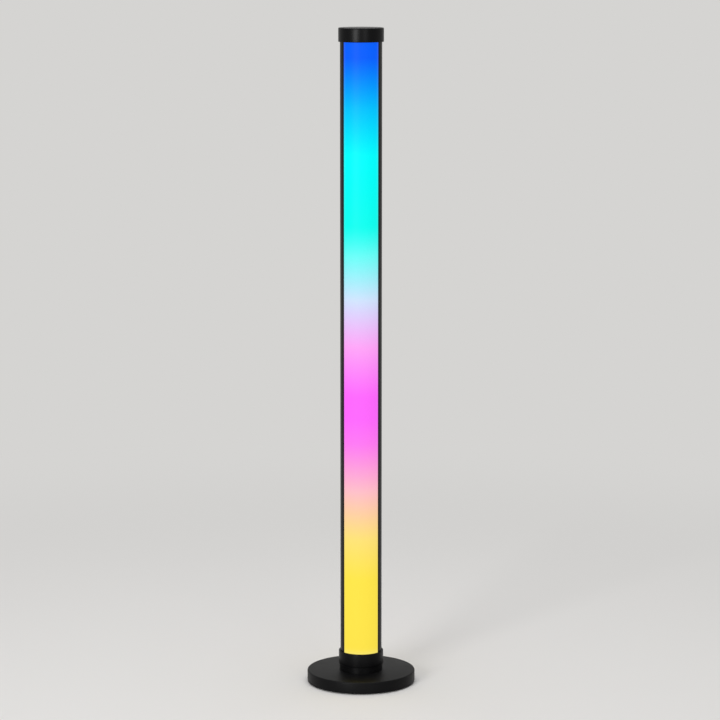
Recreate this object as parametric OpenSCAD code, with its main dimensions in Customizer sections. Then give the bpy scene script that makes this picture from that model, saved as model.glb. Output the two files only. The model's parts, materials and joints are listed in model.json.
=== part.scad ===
// Column floor lamp, lit front and rear.
// An extruded spine carries an LED board on each side of its web. Opal diffusers hook into its
// two side rails and close it to a round column. The column stands in a collar that holds the
// control board, the power inlet and the button, on a necked disc base with a cast weight.
// Frame: origin on the floor under the middle of the base, +Z up, front towards -Y. Millimetres.

/* [Overall] */
// Height from the floor to the top of the cap
lamp_h = 1000; // [700:10:1400]

/* [Column] */
// Diameter over the side rails and diffusers
column_d = 63; // [60:0.5:74]
// Width of each lit window, between the two rails
window_w = 51.2; // [46:0.2:55]
// Wall of the side rails
rail_wall = 1.8; // [1.4:0.1:2.4]
// Rounding of the rails' edges beside the windows
rail_edge = 0.4; // [0.2:0.05:0.6]
// Rounding of the diffusers' shoulders beside the rails
shoulder_edge = 1.2; // [0.3:0.1:2]
// Thickness of the web that joins the rails
web_t = 1.8; // [1.2:0.1:3]
// Wall of the opal diffusers
diffuser_t = 1.8; // [1.2:0.1:2.4]
// How far a diffuser's edge hooks behind the rail
hook_reach = 1; // [0.6:0.1:1.4]
// Thickness of the ledge behind each hook
ledge_t = 1.2; // [0.8:0.1:2]
// Outer diameter of the screw ports in the web
port_d = 7.4; // [6.4:0.1:9]

/* [Cap and collar] */
// Wall of the cap and collar round the column
fitting_wall = 2.45; // [2:0.05:4]
// Height of the top cap
cap_h = 21; // [19:0.5:40]
// Height of the collar
collar_h = 21.5; // [20:0.5:40]
// How far the column enters the cap and the collar
socket_depth = 5.5; // [4:0.5:8]
// Thickness of the partition that the column seats on
partition_t = 2; // [1.6:0.1:3]
// Rounding of the outer edges that face away from the column
fitting_edge = 1.6; // [0.8:0.1:2]
// Rounding of the rims round the column
rim_edge = 0.9; // [0.4:0.1:1.2]
// Thickness of the cover let into the top of the cap
cover_t = 2.5; // [2:0.1:4]

/* [Base] */
// Diameter of the base
base_d = 165; // [140:1:220]
// Height of the base shell
base_h = 17.5; // [13:0.5:24]
// Rounding of the shell's upper edge
base_edge = 2; // [0.8:0.1:2.8]
// Wall of the pressed base shell
shell_t = 1.5; // [1.2:0.1:3]
// Thickness of the plate under the base
plate_t = 2; // [1.6:0.1:3]
// Diameter of the recessed neck between base and collar
neck_d = 56; // [50:0.5:60]
// Height of the neck
neck_h = 9; // [3:0.5:20]

/* [Feet] */
// Diameter of a rubber foot
foot_d = 16; // [10:0.5:20]
// Height of a rubber foot
foot_h = 2.5; // [2:0.1:5]
// Depth of the recess that a foot is glued into
foot_recess = 1; // [0.6:0.1:1.2]
// Number of feet
foot_count = 6; // [3:1:8]

/* [Light] */
// Width of an LED board
board_w = 12; // [10:0.5:16]
// Thickness of an LED board
board_t = 1; // [0.8:0.1:1.6]
// Spacing of the LEDs along the column
led_pitch = 16.6; // [12:0.1:34]
// Side of a square LED package
led_w = 5; // [3.5:0.1:5.4]
// Height of an LED package
led_h = 1.6; // [1:0.1:2]

/* [Inlet and button] */
// Bore of the inlet, for a 5.5 mm power plug
inlet_bore = 5.6; // [5.6:0.05:6]
// Centre pin of the inlet
inlet_pin_d = 2.1; // [2.1,2.5]
// Depth of the inlet's bore
inlet_depth = 9.5; // [9:0.1:11]
// Diameter of the push button
button_d = 7; // [5:0.1:9]
// Travel of the push button
button_travel = 0.5; // [0.2:0.05:0.6]
// How far the button stands proud of the collar
button_proud = 0.8; // [0.7:0.1:1.6]
// Angle from the inlet round to the button
button_angle = 35; // [30:1:42]

/* [Fasteners] */
// Screws that clamp base, neck and collar together
column_screw_d = 4; // [3,4]
// Screws that hold the cap and the collar to the spine
port_screw_d = 4; // [3.5,4]
// Length of the screws into the spine
port_screw_l = 12; // [8:1:20]

/* [Hidden] */
$fn = 96;

// Clearances
fit = 0.15;         // between pieces that slide or drop together, on each side
thread_fit = 0.05;  // between a screw and its thread, on each side
screw_gap = 0.2;    // round a screw that passes through, on each side
cut = 1;            // by which a cutting solid overshoots a face

// Colours
finish_black = "#17181a";
rail_black = "#101114";
opal = "#f1efe9";
board_white = "#e8e8e2";
board_green = "#1f5a3a";
led_yellow = "#e9dc8a";
chip_black = "#202022";
steel = "#b9bcc0";
zinc = "#9a9da1";
brass = "#c9a24b";
iron = "#4a4b4d";
rubber = "#1c1c1c";
copper_red = "#a8332a";

// Column section, in the quarter towards +X and +Y
column_r = column_d / 2;
rail_in_r = column_r - rail_wall;
window_x = window_w / 2;                                        // edge of the window
leg_x = window_x - fit;                                         // outer face of a diffuser's leg
hook_x = window_x + hook_reach;                                 // tip of its hook
hook_y = sqrt(pow(rail_in_r, 2) - pow(window_x, 2)) - 2 * (diffuser_t + fit);
ledge_y = hook_y - fit - ledge_t;
lip_w = 1;                                                      // lip over an LED board's edge
lip_t = 0.8;
channel_wall = 1.2;
channel_x = board_w / 2 + fit;                                  // inner face of the board channel
port_x = (rail_in_r + channel_x + channel_wall) / 2;            // screw port, midway to the rail

// Heights, from the floor up
z_plate = foot_h - foot_recess;
z_weight = z_plate + plate_t;
z_base_top = z_plate + base_h;
z_collar = z_base_top + neck_h;
flange_t = 2;                                                   // flange of the neck in the collar
z_bay = z_collar + flange_t;                                    // floor of the electronics bay
z_collar_top = z_collar + collar_h;
z_column = z_collar_top - socket_depth;
z_partition = z_column - partition_t;                           // roof of the bay
z_cap = lamp_h - cap_h;
z_column_top = z_cap + socket_depth;
column_l = z_column_top - z_column;

// Cap and collar
bay_r = column_r + fit;
fitting_r = bay_r + fitting_wall;
cover_step = 2;                                                 // ledge that the cover rests on
cap_bay_r = bay_r - cover_step;
skirt_t = 1.6;
skirt_h = 4;
bead_r = 0.35;                                                  // snap bead on the cover's skirt
boss_d = column_screw_d + 4.4;
insert_d = column_screw_d + 1.6;
insert_l = 8;
rib_t = 1.6;

// Base
base_r = base_d / 2;
weight_r = base_r - shell_t - 2 * fit;
neck_wall = 3;
screw_circle_r = neck_d / 2 - neck_wall - 3;
screw_angles = [30, 150, 270];
head_well = (z_base_top - shell_t - z_weight) - 4.5;            // leaves 4.5 under the shell's roof
head_well_d = 10;
column_head_d = 7;
column_washer_d = 9;
column_washer_t = 1;
z_head_seat = z_weight + head_well - column_washer_t;
foot_circle_r = base_r - foot_d / 2 - 6;
plate_screw_d = 3;
plate_screw_l = 8;
plate_screw_circle_r = foot_circle_r - foot_d / 2 - 8;
plate_screw_angles = [45, 135, 225, 315];

// LED boards
board_inset = 4;                                                // from each end of the column
board_l = column_l - 2 * board_inset;
board_face = web_t / 2 + board_t;                               // lit face, from the web's middle
led_count = floor(board_l / led_pitch);
led_z0 = z_column + board_inset + (board_l - (led_count - 1) * led_pitch) / 2;
leds_per_zone = 6;
led_well_d = led_w - 1;
led_well_depth = 0.5;

// Control board and what stands on it
port_z = (z_bay + z_partition) / 2;                             // height of the inlet and button
standoff_h = 1.5;
pcb_t = 1.6;
z_pcb_top = z_bay + standoff_h + pcb_t;
pad_t = 1.2;                                                    // flat pads inside the collar wall
pad_face = bay_r - pad_t;
button_flange_t = 1;
pcb_r = pad_face - button_flange_t - button_travel - 0.45;
pcb_screw_d = 2.5;
pcb_screw_l = 4.5;
pcb_screw_angles = [125, 215, 325];
pcb_screw_circle_r = pcb_r - 5;
headroom = 0.9;                                                 // over the tallest component
socket_size = [9, 5, 5.5];
wire_d = 1;
wire_spacing = 2.6;

// Power inlet: a panel socket with a threaded barrel and a nut
barrel_d = inlet_bore + 2.4;
inlet_flange_d = barrel_d + 3;
inlet_flange_t = 1.2;
inlet_seat = fitting_r - 0.8;                                   // spot face on the collar
barrel_l = 15;                                                  // from the seat to its rear end
inlet_mouth = inlet_seat + inlet_flange_t;
inlet_back = inlet_seat - barrel_l;
nut_af = barrel_d + 2;
nut_t = 2.5;
nut_d = nut_af / cos(30);                                       // across the nut's corners
tab_size = [2.4, 0.5, 4];
tab_x = 1.9;
tab_end = inlet_back - tab_size[2];
inlet_pad = [tab_x + 0.6, tab_end - 4];                         // where a lead meets the board
pcb_notch_w = nut_d + 1.5;                                      // clears the nut
pcb_notch_y = tab_end - 1.2;                                    // clears the tabs
socket_y = inlet_pad[1] - wire_d / 2 - 0.7 - socket_size[1] / 2; // front and rear of the middle

// Button and its switch
button_flange_d = button_d + 2.4;
button_gap = 0.05;                                              // flange to pad, at rest
button_back = pad_face - button_gap - button_flange_t;
plunger_d = 3.4;
switch_face = pcb_r - 0.2;
switch_size = [6, 3.6];
plunger_in = 1.2;                                               // plunger inside the switch, at rest

// ---- Helpers ----

// Round solid with rounded outer edges, standing on z = 0
module drum(r, h, low_edge, high_edge) {
    rotate_extrude() difference() {
        square([r, h]);
        corner(r, 0, low_edge, -1);
        corner(r, h, high_edge, 1);
    }
}

// What a rounding of that radius takes off a profile's outer corner
module corner(x, y, edge, side) {
    difference() {
        translate([x - edge, side > 0 ? y - edge : y - cut]) square([edge + cut, edge + cut]);
        translate([x - edge, y - side * edge]) circle(r = edge);
    }
}

module both_sides() {
    children();
    mirror([1, 0, 0]) children();
}

module front_and_rear() {
    children();
    mirror([0, 1, 0]) children();
}

module front_half() mirror([0, 1, 0]) children();

module at_ports() {
    for (side = [-1, 1]) translate([side * port_x, 0, 0]) children();
}

module ring_of(angles, r) {
    for (a = angles) rotate(a) translate([r, 0, 0]) children();
}

// Outward along +Y at the height of the inlet, so that local z is the distance from the axis
module at_inlet() translate([0, 0, port_z]) rotate([-90, 0, 0]) children();

module at_button() rotate(-button_angle) at_inlet() children();

// Pan-head screw, head upwards, its seat at z = 0
module pan_screw(d, l, head_d, head_h) {
    difference() {
        union() {
            drum(head_d / 2, head_h, 0, head_h * 0.45);
            translate([0, 0, -l]) cylinder(d = d, h = l);
        }
        translate([0, 0, head_h - d * 0.35]) cross_recess(d * 0.95, d * 0.25, d);
    }
}

module cross_recess(w, slot, depth) {
    for (a = [0, 90]) rotate(a) translate([-w / 2, -slot / 2, 0]) cube([w, slot, depth]);
}

// Insulated wire along a cubic curve through four control points
function curve_point(p, t) =
    pow(1 - t, 3) * p[0] + 3 * t * pow(1 - t, 2) * p[1] + 3 * t * t * (1 - t) * p[2] + pow(t, 3) * p[3];
function curve_way(p, t) =
    pow(1 - t, 2) * (p[1] - p[0]) + 2 * t * (1 - t) * (p[2] - p[1]) + t * t * (p[3] - p[2]);
function unit(v) = v / norm(v);

module wire(p, d, steps = 12, sides = 8) {
    rings = [
        for (i = [0 : steps])
            let (t = i / steps, way = unit(curve_way(p, t)))
            let (u = unit(cross([1, 0, 0], way)), v = cross(way, u))
            for (k = [0 : sides - 1])
                curve_point(p, t) + d / 2 * (cos(360 * k / sides) * u + sin(360 * k / sides) * v)
    ];
    skin = [
        for (i = [0 : steps - 1], k = [0 : sides - 1])
            let (a = i * sides + k, b = i * sides + (k + 1) % sides)
            [a, a + sides, b + sides, b]
    ];
    low_end = [for (k = [0 : sides - 1]) k];
    high_end = [for (k = [sides - 1 : -1 : 0]) steps * sides + k];
    polyhedron(points = rings, faces = concat(skin, [low_end], [high_end]), convexity = 4);
}

// ---- Base ----

// Pressed shell: a disc with a rounded edge and a straight skirt
module base_shell() {
    color(finish_black) translate([0, 0, z_plate]) difference() {
        drum(base_r, base_h, 0.5, base_edge);
        translate([0, 0, -cut]) cylinder(r = base_r - shell_t, h = base_h - shell_t + cut);
        ring_of(screw_angles, screw_circle_r)
            cylinder(d = column_screw_d + 2 * screw_gap, h = base_h + cut);
    }
}

// Cast disc that fills the shell, with wells for the column screws' heads
module base_weight() {
    weight_h = z_base_top - shell_t - z_weight;
    color(iron) translate([0, 0, z_weight]) difference() {
        drum(weight_r, weight_h, 0.8, 0.8);
        ring_of(screw_angles, screw_circle_r) {
            translate([0, 0, -cut]) cylinder(d = head_well_d, h = head_well + cut);
            cylinder(d = column_screw_d + 2 * screw_gap, h = weight_h + cut);
        }
        ring_of(plate_screw_angles, plate_screw_circle_r)
            translate([0, 0, -cut])
                cylinder(d = plate_screw_d + 2 * thread_fit, h = plate_screw_l - plate_t + 3 * fit + cut);
    }
}

// Plate that closes the shell from below
module base_plate() {
    color(finish_black) translate([0, 0, z_plate]) difference() {
        cylinder(r = weight_r, h = plate_t);
        ring_of(screw_angles, screw_circle_r)
            translate([0, 0, -cut]) cylinder(d = head_well_d, h = plate_t + 2 * cut);
        ring_of(plate_screw_angles, plate_screw_circle_r) {
            translate([0, 0, -cut]) cylinder(d = plate_screw_d + 2 * screw_gap, h = plate_t + 2 * cut);
            countersink(plate_screw_d, 2 * thread_fit);
        }
        feet_at() translate([0, 0, -cut]) cylinder(d = foot_d + 2 * fit, h = foot_recess + cut);
    }
}

// Cone of a countersunk head, its face at z = 0
module countersink(d, gap) {
    translate([0, 0, -cut]) cylinder(r = d + gap, h = cut + 0.01);
    cylinder(r1 = d + gap, r2 = d / 2 + gap, h = d / 2);
}

module feet_at() {
    for (i = [0 : foot_count - 1])
        rotate(90 + 360 * i / foot_count) translate([foot_circle_r, 0, 0]) children();
}

module rubber_feet() {
    color(rubber) feet_at() drum(foot_d / 2, foot_h, 0.6, 0.3);
}

module plate_screws() {
    color(zinc) translate([0, 0, z_plate]) ring_of(plate_screw_angles, plate_screw_circle_r) difference() {
        union() {
            cylinder(r1 = plate_screw_d, r2 = plate_screw_d / 2, h = plate_screw_d / 2);
            cylinder(d = plate_screw_d, h = plate_screw_l);
        }
        translate([0, 0, -cut]) cross_recess(plate_screw_d, plate_screw_d * 0.25, cut + 1);
    }
}

// Spacer that sets the collar off the base. Its flange closes the collar from below.
module neck() {
    color(finish_black) difference() {
        union() {
            translate([0, 0, z_base_top]) cylinder(d = neck_d, h = neck_h + flange_t / 2);
            translate([0, 0, z_collar]) cylinder(r = bay_r - fit, h = flange_t);
            ring_of(pcb_screw_angles, pcb_screw_circle_r)
                translate([0, 0, z_bay - cut]) cylinder(d = pcb_screw_d + 2.5, h = standoff_h + cut);
        }
        neck_hollow();
        ring_of(screw_angles, screw_circle_r)
            translate([0, 0, z_base_top - cut])
                cylinder(d = column_screw_d + 2 * screw_gap, h = neck_h + flange_t + 2 * cut);
        ring_of(pcb_screw_angles, pcb_screw_circle_r)
            translate([0, 0, z_pcb_top - pcb_screw_l - fit])
                cylinder(d = pcb_screw_d + 2 * thread_fit, h = pcb_screw_l + cut);
    }
}

// Space inside the neck, round the bosses that the column screws pass through
module neck_hollow() {
    difference() {
        translate([0, 0, z_base_top - cut]) cylinder(r = neck_d / 2 - neck_wall, h = neck_h + cut);
        ring_of(screw_angles, screw_circle_r)
            translate([0, 0, z_base_top - 2 * cut]) cylinder(d = boss_d + 1, h = neck_h + 3 * cut);
    }
}

// Socket-head screws from under the base up into the collar's inserts
module column_screws() {
    color(steel) ring_of(screw_angles, screw_circle_r) translate([0, 0, z_head_seat]) difference() {
        union() {
            translate([0, 0, -column_screw_d]) drum(column_head_d / 2, column_screw_d, 0.4, 0);
            cylinder(d = column_screw_d, h = z_bay + insert_l - z_head_seat);
        }
        translate([0, 0, -column_screw_d - cut])
            cylinder(d = 0.75 * column_screw_d / cos(30), h = column_screw_d / 2 + cut, $fn = 6);
    }
}

module column_washers() {
    color(zinc) ring_of(screw_angles, screw_circle_r) translate([0, 0, z_head_seat]) difference() {
        cylinder(d = column_washer_d, h = column_washer_t);
        translate([0, 0, -cut]) cylinder(d = column_screw_d + 2 * screw_gap, h = column_washer_t + 2 * cut);
    }
}

// ---- Collar ----

module collar() {
    color(finish_black) difference() {
        union() {
            difference() {
                translate([0, 0, z_collar]) drum(fitting_r, collar_h, fitting_edge, rim_edge);
                translate([0, 0, z_collar - cut]) cylinder(r = bay_r, h = z_partition - z_collar + cut);
                translate([0, 0, z_column]) cylinder(r = bay_r, h = socket_depth + cut);
            }
            ring_of(screw_angles, screw_circle_r)
                translate([0, 0, z_bay]) cylinder(d = boss_d, h = z_partition - z_bay + partition_t / 2);
            ring_of(screw_angles, screw_circle_r) boss_rib();
            at_inlet() wall_pad(inlet_flange_d + 0.8);
            at_button() wall_pad(button_flange_d + 2);
        }
        translate([0, 0, z_collar - cut]) cylinder(r = bay_r, h = flange_t + cut);
        ring_of(screw_angles, screw_circle_r) {
            translate([0, 0, z_bay - cut]) cylinder(d = insert_d + 2 * thread_fit, h = insert_l + cut);
            translate([0, 0, z_bay]) cylinder(d = column_screw_d + 2 * screw_gap, h = z_partition - z_bay);
        }
        port_holes(z_partition);
        front_and_rear() lead_slot(z_partition);
        at_inlet() {
            cylinder(d = barrel_d + 2 * fit, h = fitting_r + cut);
            translate([0, 0, inlet_seat]) cylinder(d = inlet_flange_d + 1, h = fitting_r);
        }
        at_button() cylinder(d = button_d + 4 * fit, h = fitting_r + cut);
    }
}

// Rib from a screw boss out to the wall, over the control board
module boss_rib() {
    low = z_pcb_top + 1;
    translate([0, -rib_t / 2, low])
        cube([bay_r + fitting_wall / 2 - screw_circle_r, rib_t, z_partition + partition_t / 2 - low]);
}

// Boss that gives the curved wall a flat inner face
module wall_pad(d) {
    translate([0, 0, pad_face]) cylinder(d = d, h = pad_t + fitting_wall / 2);
}

module port_holes(z) {
    at_ports() translate([0, 0, z - cut])
        cylinder(d = port_screw_d + 2 * screw_gap, h = partition_t + 2 * cut);
}

// Slot in the partition for the leads to the rear LED board
module lead_slot(z) {
    translate([-channel_x + lip_w, web_t / 2 + 1, z - cut])
        cube([2 * (channel_x - lip_w), socket_y - 1, partition_t + 2 * cut]);
}

module threaded_inserts() {
    color(brass) ring_of(screw_angles, screw_circle_r) translate([0, 0, z_bay]) difference() {
        cylinder(d = insert_d, h = insert_l);
        translate([0, 0, -cut]) cylinder(d = column_screw_d + 2 * thread_fit, h = insert_l + 2 * cut);
    }
}

module port_screw() pan_screw(port_screw_d, port_screw_l, 1.75 * port_screw_d, 0.65 * port_screw_d);

module collar_screws() {
    color(zinc) at_ports() translate([0, 0, z_partition]) mirror([0, 0, 1]) port_screw();
}

// ---- Column ----

// Extrusion section: rails, web, screw ports, hook ledges and channels for the LED boards
module spine_section() {
    difference() {
        union() {
            difference() {
                circle(r = column_r);
                circle(r = rail_in_r);
                square([2 * window_x, column_d + cut], center = true);
                front_and_rear() both_sides() edge_round(window_x, rail_edge, 1);
            }
            square([2 * rail_in_r + rail_wall, web_t], center = true);
            at_ports() circle(d = port_d);
            front_and_rear() both_sides() {
                hook_ledge();
                board_channel();
            }
        }
        at_ports() circle(d = port_screw_d + 2 * thread_fit);
    }
}

// What a rounding takes off the corner between the column's outside and a face at x.
// The solid lies beyond that face where side is 1, and within it where side is -1.
module edge_round(x, edge, side) {
    centre = [x + side * edge, sqrt(pow(column_r - edge, 2) - pow(x + side * edge, 2))];
    rim_x = centre[0] * column_r / (column_r - edge);
    low_x = side > 0 ? x - cut : rim_x;
    high_x = side > 0 ? rim_x : x + cut;
    difference() {
        translate([low_x, centre[1]]) square([high_x - low_x, column_r]);
        translate(centre) circle(r = edge);
    }
}

module hook_ledge() {
    intersection() {
        circle(r = rail_in_r + rail_wall / 2);
        translate([window_x - diffuser_t, ledge_y]) square([column_r, ledge_t]);
    }
}

module board_channel() {
    translate([channel_x, 0]) square([channel_wall, board_face + fit + lip_t]);
    translate([board_w / 2 - lip_w, board_face + fit]) square([lip_w + fit + channel_wall, lip_t]);
}

module column_spine() {
    color(rail_black) translate([0, 0, z_column]) linear_extrude(height = column_l) spine_section();
}

// Opal cover: an arc flush with the rails, with a leg and a hook along each edge
module diffuser_section() {
    difference() {
        union() {
            intersection() {
                circle(r = column_r);
                translate([-leg_x, hook_y]) square([2 * leg_x, column_r]);
            }
            diffuser_hooks();
        }
        intersection() {
            circle(r = column_r - diffuser_t);
            translate([diffuser_t - leg_x, -cut]) square([2 * (leg_x - diffuser_t), column_d]);
        }
        both_sides() edge_round(leg_x, shoulder_edge, -1);
    }
}

// Hooks whose outer faces follow the inside of the rails
module diffuser_hooks() {
    intersection() {
        circle(r = rail_in_r - fit);
        translate([-hook_x, hook_y]) square([2 * hook_x, column_r]);
    }
}

module diffuser() {
    growth = 0.3;
    color(opal) translate([0, 0, z_column + growth])
        linear_extrude(height = column_l - 2 * growth) diffuser_section();
}

module rear_diffuser() diffuser();

module front_diffuser() front_half() diffuser();

// ---- Light ----

module led_board() {
    color(board_white) translate([-board_w / 2, web_t / 2, z_column + board_inset])
        cube([board_w, board_t, board_l]);
}

module rear_led_board() led_board();

module front_led_board() front_half() led_board();

// Square packages with a round phosphor well, on the board's lit face
module led_row() {
    color(led_yellow) for (i = [0 : led_count - 1])
        translate([0, board_face, led_z0 + i * led_pitch]) difference() {
            translate([-led_w / 2, 0, -led_w / 2]) cube([led_w, led_h, led_w]);
            translate([0, led_h - led_well_depth, 0]) rotate([-90, 0, 0]) cylinder(d = led_well_d, h = cut);
        }
}

module rear_leds() led_row();

module front_leds() front_half() led_row();

// One driver chip to each zone of LEDs, between two packages
module zone_chips() {
    chip = [3.9, 1.4, 4.9];
    color(chip_black) for (i = [0 : leds_per_zone : led_count - 2])
        translate([-chip[0] / 2, board_face, led_z0 + (i + 0.5) * led_pitch - chip[2] / 2]) cube(chip);
}

module rear_zone_chips() zone_chips();

module front_zone_chips() front_half() zone_chips();

// Three wires from a socket on the control board up to the end of the rear LED board
module leads() {
    wire_y = board_face + wire_d / 2;
    socket_top = z_pcb_top + socket_size[2];
    pad_z = z_column + board_inset + 3;
    color(copper_red) for (i = [-1 : 1]) wire([
        [i * wire_spacing, socket_y, socket_top],
        [i * wire_spacing, socket_y, socket_top + 5],
        [i * wire_spacing, wire_y, pad_z - 8],
        [i * wire_spacing, wire_y, pad_z]
    ], wire_d);
}

module rear_leads() leads();

module front_leads() front_half() leads();

// ---- Control board ----

module control_board() {
    color(board_green) translate([0, 0, z_bay + standoff_h]) linear_extrude(height = pcb_t) difference() {
        circle(r = pcb_r);
        translate([-pcb_notch_w / 2, pcb_notch_y]) square([pcb_notch_w, pcb_r]);
        ring_of(screw_angles, screw_circle_r) circle(d = boss_d + 0.8);
        ring_of(pcb_screw_angles, pcb_screw_circle_r) circle(d = pcb_screw_d + 2 * screw_gap);
    }
}

module board_screws() {
    color(zinc) ring_of(pcb_screw_angles, pcb_screw_circle_r) translate([0, 0, z_pcb_top])
        pan_screw(pcb_screw_d, pcb_screw_l, 1.8 * pcb_screw_d, 0.6 * pcb_screw_d);
}

module on_board(x, y) translate([x, y, z_pcb_top]) children();

// Radio module: a carrier board under a pressed metal can
module wireless_module() {
    color(zinc) on_board(14 - pcb_r, -3) {
        translate([-7.5, -5.5, 0]) cube([15, 11, 0.8]);
        translate([-4.5, -4.5, 0.8]) cube([11, 9, 2]);
    }
}

module driver_chips() {
    color(chip_black) for (p = [[pcb_r - 10, -4.5], [pcb_r - 10, 1.5], [pcb_r - 19.5, 3.5]])
        on_board(p[0], p[1]) translate([-2.5, -2, 0]) cube([5, 4, 1.6]);
}

module choke() {
    color(chip_black) on_board(-8, 9) translate([-3, -3, 0]) cube([6, 6, 3.5]);
}

module smoothing_capacitor() {
    color(steel) on_board(pcb_r - 18, -6) drum(4, z_partition - z_pcb_top - headroom, 0.3, 0.6);
}

// Plug-in sockets for the leads of the two LED boards
module lead_sockets() {
    color(board_white) front_and_rear() on_board(0, socket_y)
        translate([-socket_size[0] / 2, -socket_size[1] / 2, 0]) cube(socket_size);
}

// ---- Power inlet ----

module inlet_socket() {
    color(chip_black) at_inlet() difference() {
        union() {
            translate([0, 0, inlet_seat]) drum(inlet_flange_d / 2, inlet_flange_t, 0, 0.4);
            translate([0, 0, inlet_back]) cylinder(d = barrel_d, h = barrel_l + inlet_flange_t / 2);
        }
        translate([0, 0, inlet_mouth - inlet_depth]) cylinder(d = inlet_bore, h = inlet_depth + cut);
    }
}

module inlet_pin() {
    color(zinc) at_inlet() translate([0, 0, inlet_mouth - inlet_depth])
        drum(inlet_pin_d / 2, inlet_depth - 0.6, 0, 0.3);
}

module inlet_nut() {
    color(zinc) at_inlet() translate([0, 0, pad_face - nut_t]) difference() {
        cylinder(d = nut_d, h = nut_t, $fn = 6);
        translate([0, 0, -cut]) cylinder(d = barrel_d + 2 * thread_fit, h = nut_t + 2 * cut);
    }
}

module inlet_tabs() {
    color(zinc) at_inlet() both_sides()
        translate([tab_x - tab_size[0] / 2, -tab_size[1] / 2, tab_end]) cube(tab_size);
}

// Two wires from the inlet's tabs down to the control board
module inlet_leads() {
    color(copper_red) both_sides() wire([
        [tab_x, tab_end, port_z],
        [tab_x, tab_end - 2.5, port_z],
        [inlet_pad[0], inlet_pad[1], z_pcb_top + 2.5],
        [inlet_pad[0], inlet_pad[1], z_pcb_top]
    ], wire_d);
}

// ---- Button ----

// Tact switch that stands on the control board, its plunger towards the collar wall
module button_switch() {
    below = port_z - z_pcb_top;
    color(chip_black) at_button() difference() {
        translate([-switch_size[0] / 2, -3, switch_face - switch_size[1]])
            cube([switch_size[0], 3 + below, switch_size[1]]);
        translate([0, 0, switch_face - plunger_in - button_travel - 0.3])
            cylinder(d = plunger_d + 2 * fit, h = switch_size[1]);
    }
}

module switch_plunger() {
    color(board_white) at_button() translate([0, 0, switch_face - plunger_in])
        cylinder(d = plunger_d, h = button_back - switch_face + plunger_in);
}

// Dished cap with a flange that the collar wall holds in
module power_button() {
    face = fitting_r + button_proud;
    dish_r = 24;
    color(chip_black) at_button() difference() {
        union() {
            translate([0, 0, button_back]) cylinder(d = button_flange_d, h = button_flange_t);
            translate([0, 0, button_back]) drum(button_d / 2, face - button_back, 0, 0.6);
        }
        translate([0, 0, face + dish_r - 0.25]) sphere(r = dish_r);
    }
}

// ---- Top ----

module top_cap() {
    color(finish_black) difference() {
        translate([0, 0, z_cap]) drum(fitting_r, cap_h, rim_edge, fitting_edge);
        translate([0, 0, z_cap - cut]) cylinder(r = bay_r, h = socket_depth + cut);
        translate([0, 0, z_column_top + partition_t]) cylinder(r = cap_bay_r, h = cap_h);
        translate([0, 0, lamp_h - cover_t]) cylinder(r = bay_r, h = cover_t + cut);
        translate([0, 0, lamp_h - cover_t - skirt_h / 2])
            rotate_extrude() translate([cap_bay_r, 0]) circle(r = bead_r + fit);
        port_holes(z_column_top);
    }
}

module cap_screws() {
    color(zinc) at_ports() translate([0, 0, z_column_top + partition_t]) port_screw();
}

// Disc that snaps into the cap over the screws
module top_cover() {
    color(finish_black) translate([0, 0, lamp_h - cover_t]) {
        drum(bay_r - fit, cover_t, 0, 0.4);
        translate([0, 0, -skirt_h]) rotate_extrude() {
            translate([cap_bay_r - fit - skirt_t, 0]) square([skirt_t, skirt_h + cover_t / 2]);
            translate([cap_bay_r - fit, skirt_h / 2]) circle(r = bead_r);
        }
    }
}

base_shell();
base_weight();
base_plate();
rubber_feet();
plate_screws();
neck();
column_screws();
column_washers();
collar();
threaded_inserts();
collar_screws();
column_spine();
front_diffuser();
rear_diffuser();
front_led_board();
rear_led_board();
front_leds();
rear_leds();
front_zone_chips();
rear_zone_chips();
front_leads();
rear_leads();
control_board();
board_screws();
wireless_module();
driver_chips();
choke();
smoothing_capacitor();
lead_sockets();
inlet_socket();
inlet_pin();
inlet_nut();
inlet_tabs();
inlet_leads();
button_switch();
switch_plunger();
power_button();
top_cap();
cap_screws();
top_cover();
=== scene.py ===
import json
import math

import bmesh
import bpy
from mathutils import Matrix, Vector

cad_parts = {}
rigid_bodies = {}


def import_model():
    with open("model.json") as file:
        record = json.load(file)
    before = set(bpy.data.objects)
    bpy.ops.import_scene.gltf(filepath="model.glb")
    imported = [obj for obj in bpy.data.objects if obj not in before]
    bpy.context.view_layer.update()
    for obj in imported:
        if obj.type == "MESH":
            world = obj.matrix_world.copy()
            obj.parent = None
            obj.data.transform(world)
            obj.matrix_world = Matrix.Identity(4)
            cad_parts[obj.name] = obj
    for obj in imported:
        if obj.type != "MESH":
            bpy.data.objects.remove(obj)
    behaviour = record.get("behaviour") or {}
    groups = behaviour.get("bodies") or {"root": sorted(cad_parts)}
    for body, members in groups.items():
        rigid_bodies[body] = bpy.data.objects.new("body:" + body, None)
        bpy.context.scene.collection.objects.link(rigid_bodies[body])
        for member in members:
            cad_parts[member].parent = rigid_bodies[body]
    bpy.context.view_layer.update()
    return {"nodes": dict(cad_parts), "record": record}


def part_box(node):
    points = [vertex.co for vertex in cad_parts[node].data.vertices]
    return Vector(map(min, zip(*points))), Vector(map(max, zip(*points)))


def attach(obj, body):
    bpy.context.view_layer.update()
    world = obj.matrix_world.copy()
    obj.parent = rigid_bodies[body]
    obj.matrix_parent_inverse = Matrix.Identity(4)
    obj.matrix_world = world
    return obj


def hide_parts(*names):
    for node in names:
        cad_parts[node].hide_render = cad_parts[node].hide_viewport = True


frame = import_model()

scene = bpy.context.scene
nodes = frame["nodes"]
mm = 0.001  # shapes are drawn in millimetres and brought to metres as pieces
print("frame loaded:", len(nodes), "nodes")


# node trees

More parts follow.
